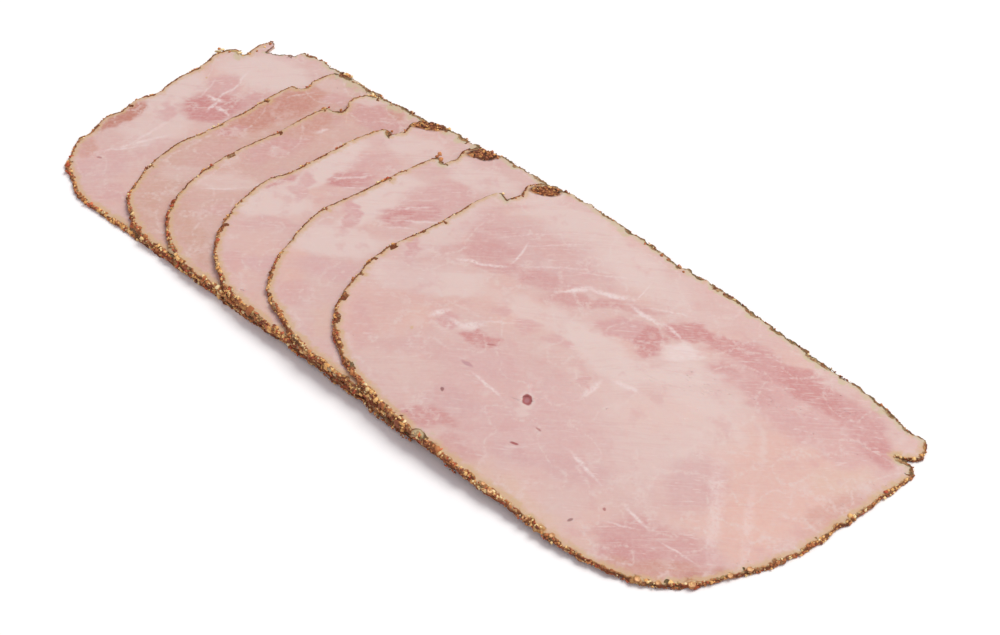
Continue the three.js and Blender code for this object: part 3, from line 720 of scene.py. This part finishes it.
def meat_colours(number, points):
    """The colour of the meat at each point, and how much of it is red muscle there."""
    flat = np.array([to_local(number, x, y) for x, y, z in points])
    drift = np.array([drifts(x, y, number) for x, y in flat])
    flat = flat + drift[:, :2] * 2.6 + drift[:, 5:] * 1.5 + drift[:, 2:3] * 2.2 * ALONG
    colours = np.tile(np.array(BASE[:3]), (len(flat), 1))
    muscle = np.zeros(len(flat))

    def lay(share, tint):
        colours[:] = colours + share[:, None] * (np.array(tint[:3]) - colours)

    lay(np.clip(drift[:, 3] * 1.6, 0, 1) * 0.5, CREAM)
    lay(np.clip(drift[:, 4] * 1.6, 0, 1) * 0.4, PEACH)
    for x, y, length, width, tilt, softness, tint, strength in MARKS[number]:
        lengthwise, crosswise = turned(flat[:, 0] - x, flat[:, 1] - y, -math.radians(tilt))
        reach = np.hypot(lengthwise / length, crosswise / width)
        share = np.clip((1 + softness * 0.5 - reach) / softness, 0, 1)
        share = share * share * (3 - 2 * share)
        lay(share * strength, tint)
        if tint in (DUSK, ROSE, DEEP, MAROON):
            muscle = np.maximum(muscle, share * strength)
        elif tint in (FAT, CREAM):
            muscle = muscle * (1 - share * strength)
    return colours, muscle


def displace(piece, name, grain, depth, weights, strength, middle, direction="NORMAL"):
    """Moves the points of a piece by a cloudy noise with a grain in mm, as far as each is let."""
    clouds = bpy.data.textures.new(f"{piece.name}_{name}", "CLOUDS")
    clouds.noise_scale = grain * MM
    clouds.noise_depth = depth
    relief = piece.modifiers.new(name, "DISPLACE")
    relief.texture = clouds
    relief.vertex_group = weigh(piece, name, weights)
    relief.direction = direction
    relief.strength = strength * MM
    relief.mid_level = middle
    bpy.ops.object.modifier_apply(modifier=name)


def hold(piece, name, values, kind="FLOAT", part="value"):
    """Stores a number or a colour for each point of a piece, for its finish to read."""
    layer = piece.data.attributes.new(name, kind, "POINT")
    layer.data.foreach_set(part, values)


def fine_slice(number):
    """Lays a finer copy of a slice's solid in its place, with a rough rind and its own finish."""
    node = nodes[number]
    piece = bpy.data.objects.new(f"ham_slice_{number}_cut", node.data.copy())
    bpy.context.scene.collection.objects.link(piece)
    only(piece)
    bpy.ops.object.mode_set(mode="EDIT")
    bpy.ops.mesh.select_mode(type="EDGE")
    bpy.ops.mesh.select_all(action="SELECT")
    bpy.ops.mesh.remove_doubles(threshold=WELD)
    bpy.ops.object.mode_set(mode="OBJECT")
    for _ in range(ROUNDS):
        split_long_edges(piece, number)

    rim = rims[number]
    depths, stations = about_rim(rim, [vertex.co / MM for vertex in piece.data.vertices])
    calm = piece.modifiers.new("calm_face", "SMOOTH")
    calm.vertex_group = weigh(piece, "face", [smoothstep(depth, 1.0, 4.0) for depth in depths])
    calm.use_x = calm.use_y = False
    calm.factor = 0.5
    calm.iterations = CALM_STEPS
    bpy.ops.object.modifier_apply(modifier=calm.name)

    rind = [smoothstep(depth, 0.9, 0.2) for depth in depths]
    displace(piece, "rough_rind", ROUGH_GRAIN, 1, rind, ROUGH, 0.6)
    edge = [smoothstep(depth, 2.0, 0.3) for depth in depths]
    displace(piece, "wavy_rim", RIPPLE_GRAIN, 2, edge, RIPPLE, 0.5, "Y")
    for vertex in piece.data.vertices:
        vertex.co.z = max(vertex.co.z, 0)
    points = [vertex.co / MM for vertex in piece.data.vertices]
    hold(piece, "rim_depth", depths)
    hold(piece, "crust_width", [rim.crust_width(index) for index in stations])
    hold(piece, "far_side", [rim.far_side(index) for index in stations])
    hold(piece, "down_the_wall", [
        (rim.points[index][2] - point.z) / SLICE_THICKNESS if depth < RIND_REACH else 0
        for index, point, depth in zip(stations, points, depths)])
    colours, muscle = meat_colours(number, points)
    hold(piece, "muscle", muscle)
    meat = np.hstack([colours, np.ones((len(colours), 1))])
    hold(piece, "meat_colour", meat.ravel(), "FLOAT_COLOR", "color")
    chunks = []
    for point, depth, index in zip(points, depths, stations):
        lift = max(point.z - rim.points[index][2], CHUNK_DEPTH - depth)
        *tint, share = chunk_colour(number, *to_local(number, point.x, point.y))
        chunks += [*tint, share * smoothstep(lift, 0.0, CHUNK_RISE) * (depth < CHUNK_REACH)]
    hold(piece, "chunk_colour", chunks, "FLOAT_COLOR", "color")
    piece.data.materials.clear()
    piece.data.materials.append(meat_paint(number))
    bpy.ops.object.shade_smooth_by_angle(angle=SMOOTH_UP_TO)
    steady = piece.modifiers.new("steady_normals", "WEIGHTED_NORMAL")
    steady.keep_sharp = True
    bpy.ops.object.modifier_apply(modifier=steady.name)
    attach(piece, "root")
    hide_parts(node.name)


# The spice on the rinds: shapes 1 mm across, copied at their sizes

RING_MIDDLE = 0.37
RING_TONES = (0.95, 0.1)


def take_shape(model, tone=lambda place: None):
    """The points, faces and tones of a modelled crumb, which then leaves the scene."""
    corners = model.data.vertices
    shape = (np.array([tuple(corner.co) for corner in corners]),
             [tuple(face.vertices) for face in model.data.polygons],
             [tone(corner.co) for corner in corners])
    bpy.data.objects.remove(model)
    return shape


def crumb_shape(facets, stretch, uneven, seed, cut=None):
    """One crumb, roughened, and cut flat on one side where a height is given."""
    bpy.ops.object.select_all(action="DESELECT")
    bpy.ops.mesh.primitive_ico_sphere_add(subdivisions=facets, radius=0.5)
    crumb = bpy.context.object
    bpy.ops.object.mode_set(mode="EDIT")
    bpy.ops.mesh.select_all(action="SELECT")
    bpy.ops.transform.resize(value=stretch)
    bpy.ops.transform.vertex_random(offset=uneven, uniform=1.0, normal=0.0, seed=seed)
    if cut is not None:
        bpy.ops.mesh.select_all(action="SELECT")
        bpy.ops.mesh.bisect(plane_co=(0, 0, cut), plane_no=(0.3, 0.2, 1), use_fill=True,
                            clear_outer=True)
    bpy.ops.mesh.select_all(action="SELECT")
    bpy.ops.mesh.normals_make_consistent(inside=False)
    bpy.ops.object.mode_set(mode="OBJECT")
    return take_shape(crumb)


def ring_shape():
    """The shell of a cut peppercorn: a dark ring with a sunken pale middle."""
    bpy.ops.object.select_all(action="DESELECT")
    bpy.ops.mesh.primitive_cylinder_add(vertices=9, radius=0.5, depth=0.35)
    shell = bpy.context.object
    bpy.ops.object.mode_set(mode="EDIT")
    bpy.ops.mesh.select_mode(type="FACE")
    bpy.ops.mesh.select_all(action="DESELECT")
    bpy.ops.object.mode_set(mode="OBJECT")
    for polygon in shell.data.polygons:
        polygon.select = polygon.normal.z > FLAT_ENOUGH
    bpy.ops.object.mode_set(mode="EDIT")
    bpy.ops.mesh.inset(thickness=0.14, depth=0.0)
    bpy.ops.mesh.inset(thickness=0.05, depth=-0.12)
    bpy.ops.mesh.select_all(action="SELECT")
    bpy.ops.transform.vertex_random(offset=0.05, uniform=1.0, normal=0.0, seed=5)
    bpy.ops.object.mode_set(mode="OBJECT")
    return take_shape(shell, lambda place: RING_TONES[place.xy.length > RING_MIDDLE])


class Heap:
    """Crumbs of one kind, copied from a few modelled shapes into one mesh."""

    def __init__(self, name, shapes, finish):
        self.name = name
        self.shapes = shapes
        self.finish = finish
        self.points = []
        self.faces = []
        self.tones = []
        self.count = 0

    def drop(self, draw, place, size, turn):
        """Adds one crumb at a place in mm, of a size in mm, turned by a matrix."""
        points, faces, tones = draw.choice(self.shapes)
        placed = (points * size) @ np.array(turn).T + np.array(place)
        placed[:, 2] = placed[:, 2].clip(0)
        self.points.append(placed * MM)
        self.faces += [tuple(corner + self.count for corner in face) for face in faces]
        shade = draw.random()
        self.tones += [shade if tone is None else tone for tone in tones]
        self.count += len(points)

    def build(self):
        mesh = bpy.data.meshes.new(self.name)
        mesh.from_pydata(np.concatenate(self.points), [], self.faces)
        tone = mesh.attributes.new("tone", "FLOAT", "POINT")
        tone.data.foreach_set("value", self.tones)
        mesh.materials.append(self.finish)
        mesh.shade_smooth()
        piece = bpy.data.objects.new(self.name, mesh)
        bpy.context.scene.collection.objects.link(piece)
        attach(piece, "root")


def crumb_paint(name, dark, middle, light):
    """The finish of one kind of spice, from dark to light crumbs, mottled within a crumb."""
    paint = Paint(name)
    here = paint.node("ShaderNodeTexCoord", output="Object")
    mottle = paint.noise(here, 1.6 / MM, 2.0)
    tone = paint.node("ShaderNodeAttribute", {"attribute_name": "tone"}, output="Fac")
    colour = paint.ramp(tone * 0.7 + mottle * 0.6 - 0.15, ((0.0, dark), (0.5, middle), (1.0, light)))
    return paint.finish(colour, mottle * 0.3 + 0.55, mottle, 0.15, Specular_IOR_Level=0.3)


CHUNKS = [crumb_shape(1, (1.0, 0.8, 0.46), 0.1, seed, 0.18) for seed in (1, 2, 3, 4)]
FLAKES = [crumb_shape(1, (1.0, 0.75, 0.26), 0.07, seed) for seed in (5, 6, 7)]
SHREDS = [crumb_shape(1, (1.0, 0.36, 0.28), 0.06, seed) for seed in (8, 9, 10)]
RINGS = [ring_shape()]

# The kinds of spice: piece, finish, shapes, and the dark, middle and light colour of a crumb.
KINDS = {
    "golden": ("golden_crumbs", "golden_crumb", CHUNKS, (190, 132, 74), (210, 160, 98), (224, 190, 130)),
    "cream": ("cream_chunks", "cream_chunk", CHUNKS, (210, 176, 116), (222, 196, 142), (232, 214, 170)),
    "brown": ("brown_crumbs", "brown_crumb", CHUNKS, (142, 82, 48), (168, 104, 62), (192, 132, 84)),
    "pepper": ("pepper_bits", "pepper_bit", CHUNKS, (98, 52, 36), (122, 68, 46), (150, 94, 64)),
    "rust": ("red_flakes", "red_flake", FLAKES, (148, 64, 42), (176, 84, 54), (204, 116, 78)),
    "olive": ("green_herb_bits", "herb_bit", SHREDS, (128, 100, 62), (158, 130, 84), (188, 164, 114)),
    "ring": ("pepper_rings", "pepper_ring", RINGS, (134, 84, 52), (190, 138, 92), (216, 176, 130)),
}
# Each crumb colour is painted brighter by the crumbs' light level, to make up for the shade the crumbs
# cast on each other.
HEAPS = {kind: Heap(name, shapes, crumb_paint(finish, *(spice(*tint) for tint in tints)))
         for kind, (name, finish, shapes, *tints) in KINDS.items()}

# The shares of golden, cream, brown, pepper, rust and olive bits on the upper wall, on the lower
# wall, on the cut face, in the near left corner of a slice, at its left and on its far side. The
# darker kinds on the lower wall are painted shade; most crumbs on the walls of thin rims take them too.
LOOSE_KINDS = ("golden", "cream", "brown", "pepper", "rust", "olive")
OUTER_SHARES = (0.38, 0.1, 0.3, 0.04, 0.1, 0.08)
LOW_SHADE_AND_THIN_RIM_SHARES = (0.08, 0, 0.46, 0.2, 0.22, 0.04)
INNER_SHARES = (0.38, 0.2, 0.21, 0.03, 0.1, 0.08)
CORNER_SHARES = (0.24, 0.06, 0.32, 0.08, 0.24, 0.06)
LEFT_SHARES = (0.12, 0.08, 0.36, 0.18, 0.06, 0.2)
FAR_SHARES = (0.04, 0.08, 0.32, 0.32, 0, 0.24)

# Crumbs for each mm of rim, on the wall and on the cut face, and their size in mm: what a rim
# with no richness has, and what a full one adds. Sizes spread round that by a share.
WALL_CRUMBS = (1.0, 1.8)
FACE_CRUMBS = (0.5, 1.4)
CRUMB_SIZE = (0.42, 0.46)
WALL_SPREAD = 0.4
FACE_SPREAD = 0.46

# The richness below which a rim is thin, how fast the kinds change along a rim, and the heights
# that crumbs stay between.
THIN = 0.35
CLUMP = 0.16
LOWEST = 0.05
HIGHEST = cad_box[1].z / MM + 0.2


def pick(draw, shares, station, number):
    """A kind of spice, in clumps: each kind is common on some stretches and rare on others."""
    weights = [share * (0.15 + 2.0 * smoothstep(
        noise.noise(Vector((station * CLUMP, number * 3.1, index * 7.7))), -0.35, 0.45))
        for index, share in enumerate(shares)]
    return draw.choices(LOOSE_KINDS, weights)[0]


def lying(draw, face, lean):
    """A turn that lays a crumb flat against a face, spun and leaning at random."""
    spin = Euler((draw.uniform(-lean, lean), draw.uniform(-lean, lean),
                  draw.uniform(-math.pi, math.pi)))
    return Vector(face).to_track_quat("Z", "Y").to_matrix() @ spin.to_matrix()


def grown(amount, rich):
    """An amount for a rim that is as rich in spice as given, from 0 to 1."""
    least, more = amount
    return least + more * rich


def spice_rim(number):
    """Covers the rind of one slice with crumbs, thick on the near side and thin at the left."""
    draw = random.Random(100 + number)
    rim = rims[number]

    def drop(index, shares, size, out, height, face, lean):
        """Leaves one crumb by a station: out from the rim and at a height, in mm."""
        x, y, z = rim.points[index]
        nx, ny = rim.out[index]
        slide = draw.uniform(-0.5, 0.5) * STATION_STEP
        kind = pick(draw, shares, index * STATION_STEP, number)
        half = size * 0.42
        height = min(max(height, LOWEST + half), HIGHEST - half)
        place = (x + out * nx - slide * ny, y + out * ny + slide * nx, height)
        HEAPS[kind].drop(draw, place, size, lying(draw, face, lean))

    for index, (x, y, z) in enumerate(rim.points):
        nx, ny = rim.out[index]
        if rim.crust_width(index) < 0:
            continue
        under = covered(number, x + 0.4 * nx, y + 0.4 * ny)
        if under and covered(number, x + 2.5 * nx, y + 2.5 * ny):
            continue
        rich = rim.richness(index)
        top_shares = INNER_SHARES
        if rim.corner(index) > 0.3:
            top_shares = CORNER_SHARES
        elif rim.far_side(index) > 0.3:
            top_shares = FAR_SHARES
        elif nx < -0.3:
            top_shares = LEFT_SHARES
        for _ in range(int(STATION_STEP * grown(WALL_CRUMBS, rich) + draw.random())):
            size = grown(CRUMB_SIZE, rich) * math.exp(draw.gauss(0, WALL_SPREAD))
            down = draw.uniform(0.08, 0.85)
            # Low on the wall the crumbs take darker kinds, as painted shade; on thin rims most do as
            # well.
            low = down > 0.42 or rich < THIN and draw.random() < 0.6
            shares = OUTER_SHARES if top_shares == INNER_SHARES else top_shares
            if low and top_shares != FAR_SHARES:
                shares = LOW_SHADE_AND_THIN_RIM_SHARES
            drop(index, shares, size, draw.uniform(-0.25, 0.06),
                 z - down * SLICE_THICKNESS, (nx, ny, 0.4), 0.5)
        if under:
            continue
        for _ in range(int(STATION_STEP * grown(FACE_CRUMBS, rich) + draw.random())):
            size = grown(CRUMB_SIZE, rich) * math.exp(draw.gauss(0, FACE_SPREAD))
            drop(index, top_shares, size,
                 -draw.uniform(-0.1, 0.2 + 0.8 * rich), z + draw.uniform(-0.12, 0.02) * size,
                 (nx * 0.3, ny * 0.3, 1), 0.4)


# Bits that lie alone by the rims: x and y on the slice, size in mm and kind.
LONE_BITS = {
    6: [(3.6, -53.9, 1.9, "ring"), (0.4, -53.4, 1.4, "ring"), (16.6, -53.5, 1.9, "ring"),
        (26, -52.8, 1.7, "ring"), (52.1, -47.4, 1.8, "ring"), (56.9, -44.3, 1.6, "ring"),
        (63.9, -38.4, 2.2, "ring"), (72.1, -23.7, 1.8, "ring"), (69.5, -29, 1.6, "ring"),
        (80.8, 10.3, 2, "golden"), (83.1, 24.3, 1.8, "rust"), (-71.3, 40.4, 1.2, "pepper"),
        (-72.2, 38.1, 0.9, "brown"), (2.7, 51.9, 1.2, "pepper"), (-28.7, 51.1, 1, "rust"),
        (-21.8, 51.1, 1.6, "brown"), (-19.3, 51, 1.3, "brown"), (-12.2, 50.2, 1.3, "brown")],
    5: [(-78.3, 38.6, 2.4, "brown"), (-76, 36.8, 2.6, "brown"), (-78, 37, 1.8, "brown")],
    4: [(-75.7, 38.2, 1.2, "brown"), (-72.5, 41.3, 1, "brown")],
    3: [(-80.6, 33.6, 1.7, "brown"), (-79.5, 35.4, 1.3, "rust"), (-75, 36.7, 1.5, "brown")],
    2: [(-75.4, 40.4, 1.5, "rust"), (-74.8, 41.3, 1.2, "brown")],
    1: [(-83.9, 31.6, 3, "olive"), (-83.7, 33.4, 1.9, "cream"), (-81.8, 34.4, 2.8, "olive"),
        (-79.6, 35.6, 3, "olive"), (-77.6, 36.4, 1.8, "cream"), (-78.7, 37.4, 1.5, "olive"),
        (-84.9, 33, 1.5, "brown"), (-80.6, 34.2, 1.5, "brown"), (-73.2, 47.1, 1.6, "brown"),
        (-73.3, 44.6, 1.2, "golden"), (-73.7, 41.1, 1.1, "brown"), (-74.3, 38.2, 1, "golden")],
}
POCKET_CRUMBS = 34
POCKET_KINDS = ("brown", "pepper", "brown", "pepper", "golden")


def lay_bit(draw, number, x, y, size, kind, lean):
    """Lays a bit on the cut face of a slice, or beside its rim at the height of the rim."""
    x, y = to_packed(number, x, y)
    hit = top_of(number, x, y)
    rim = rims[number]
    top = hit.z if hit else rim.points[rim.tree.find((x, y, 0))[1]][2]
    height = min(top + 0.02, HIGHEST - size * 0.2)
    HEAPS[kind].drop(draw, (x, y, height), size, lying(draw, (0, 0, 1), lean))


def lay_lone_bits():
    """Lays the bits that lie alone, and fills the pockets with crumbs."""
    draw = random.Random(7)
    for number, bits in LONE_BITS.items():
        for x, y, size, kind in bits:
            lay_bit(draw, number, x, y, size, kind, 0.2)
    for number, ((x, y), (length, width), tilt) in POCKETS.items():
        for _ in range(POCKET_CRUMBS):
            reach, way = math.sqrt(draw.random()) * 0.95, draw.uniform(0, 2 * math.pi)
            along, across = turned(length * reach * math.cos(way), width * reach * math.sin(way),
                                   math.radians(tilt))
            lay_bit(draw, number, x + along, y + across, draw.uniform(0.7, 1.5),
                    draw.choice(POCKET_KINDS), 0.5)


# Floor, light and camera, in metres and watts

FLOOR_SIZE = 6.0
FLOOR_WHITE = (0.97, 0.97, 0.97, 1)
KEY_DIRECTION = Vector((0.35, 1.0, 1.55)).normalized()
KEY_DISTANCE = 4.0
KEY_SIZE = 2.4
KEY_POWER = 118
KEY_COLOUR = (1.0, 1.0, 0.96)
ROOM_COLOUR = (1.0, 0.93, 0.98, 1)
ROOM_STRENGTH = 0.58


def build_floor():
    bpy.ops.object.select_all(action="DESELECT")
    bpy.ops.mesh.primitive_plane_add(size=FLOOR_SIZE)
    floor = bpy.context.object
    floor.name = "floor"
    floor.data.materials.append(Paint("floor_white").finish(FLOOR_WHITE, 0.9))


def build_light():
    """A large soft lamp high behind the row, and pale light from all round."""
    lamp = bpy.data.lights.new("key", "AREA")
    lamp.shape = "SQUARE"
    lamp.size = KEY_SIZE
    lamp.energy = KEY_POWER
    lamp.color = KEY_COLOUR
    holder = bpy.data.objects.new("key", lamp)
    bpy.context.scene.collection.objects.link(holder)
    holder.location = KEY_DIRECTION * KEY_DISTANCE
    holder.rotation_euler = KEY_DIRECTION.to_track_quat("Z", "Y").to_euler()
    room = bpy.data.worlds.new("studio")
    room.use_nodes = True
    background = room.node_tree.nodes["Background"]
    background.inputs["Color"].default_value = ROOM_COLOUR
    background.inputs["Strength"].default_value = ROOM_STRENGTH
    bpy.context.scene.world = room
    bpy.context.scene.view_settings.view_transform = "Standard"


# The camera stands at the photograph's angle: turned from the front, looking down, near
# enough for the long sides of the row to draw together.
CAMERA_AZIMUTH = math.radians(43.3)
CAMERA_ELEVATION = math.radians(45)
CAMERA_DISTANCE = 0.58
FOCAL_PIXELS = 1879.2
PHOTO_WIDTH = 1000
SENSOR_WIDTH = 36.0


def build_camera():
    back = Vector((math.sin(CAMERA_AZIMUTH) * math.cos(CAMERA_ELEVATION),
                   -math.cos(CAMERA_AZIMUTH) * math.cos(CAMERA_ELEVATION),
                   math.sin(CAMERA_ELEVATION)))
    camera = bpy.data.objects.new("camera", bpy.data.cameras.new("camera"))
    bpy.context.scene.collection.objects.link(camera)
    camera.data.sensor_fit = "HORIZONTAL"
    camera.data.sensor_width = SENSOR_WIDTH
    camera.data.lens = FOCAL_PIXELS * SENSOR_WIDTH / PHOTO_WIDTH
    camera.data.clip_start = 0.01
    camera.location = ROW_SHIFT * MM + back * CAMERA_DISTANCE
    camera.rotation_euler = back.to_track_quat("Z", "Y").to_euler()
    bpy.context.scene.camera = camera


build_camera()
build_light()
build_floor()
for slice_number in SLICES:
    fine_slice(slice_number)
    spice_rim(slice_number)
lay_lone_bits()
for heap in HEAPS.values():
    heap.build()
